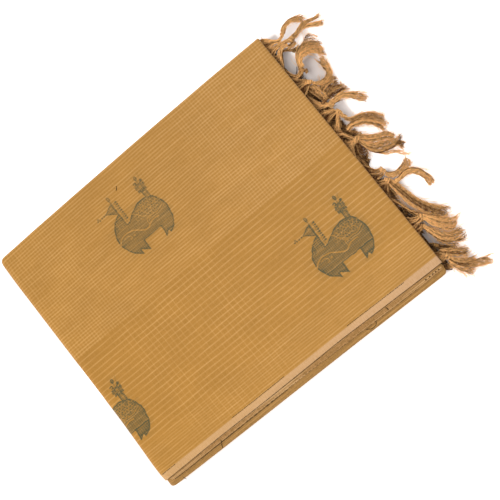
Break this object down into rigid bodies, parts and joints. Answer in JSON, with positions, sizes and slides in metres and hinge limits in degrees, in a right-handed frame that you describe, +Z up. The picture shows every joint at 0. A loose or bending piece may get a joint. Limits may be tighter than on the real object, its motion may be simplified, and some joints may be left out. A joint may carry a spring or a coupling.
{
  "type": "folded cotton saree",
  "caption": "Cotton saree folded into a flat rectangular packet, woven edges stepped along one side, with a knotted tassel fringe coming out at one end.",
  "frame": {"origin": "on the face the packet rests on, under the middle of the top panel", "axes": "+X along the warp towards the fringe, -Y towards the woven edges, +Z up"},
  "size_m": [0.4058, 0.3108, 0.018],
  "materials": {
    "cotton_cloth": "ochre plain-weave handloom cotton with fine pale pinstripes, matt",
    "selvedge_cloth": "pale peach-tan woven selvedge band, matt",
    "pallu_cloth": "browner ochre plain-weave cotton of the end piece, matt",
    "warp_fringe": "tan-brown soft cotton yarn, loosely plied, matt"
  },
  "bodies": {
    "root": {"top_leaf": "cotton_cloth", "second_selvedge": "selvedge_cloth", "first_fold": "cotton_cloth", "pallu_end": "pallu_cloth", "hidden_layers": "cotton_cloth", "tassel_01": "warp_fringe", "tassel_02": "warp_fringe", "tassel_03": "warp_fringe", "tassel_04": "warp_fringe", "tassel_05": "warp_fringe", "tassel_06": "warp_fringe", "tassel_07": "warp_fringe", "tassel_08": "warp_fringe", "tassel_09": "warp_fringe", "tassel_10": "warp_fringe", "tassel_11": "warp_fringe", "tassel_12": "warp_fringe", "tassel_13": "warp_fringe", "tassel_14": "warp_fringe", "tassel_15": "warp_fringe", "tassel_16": "warp_fringe", "tassel_17": "warp_fringe", "tassel_18": "warp_fringe", "tassel_19": "warp_fringe", "tassel_20": "warp_fringe"}
  },
  "joints": []
}
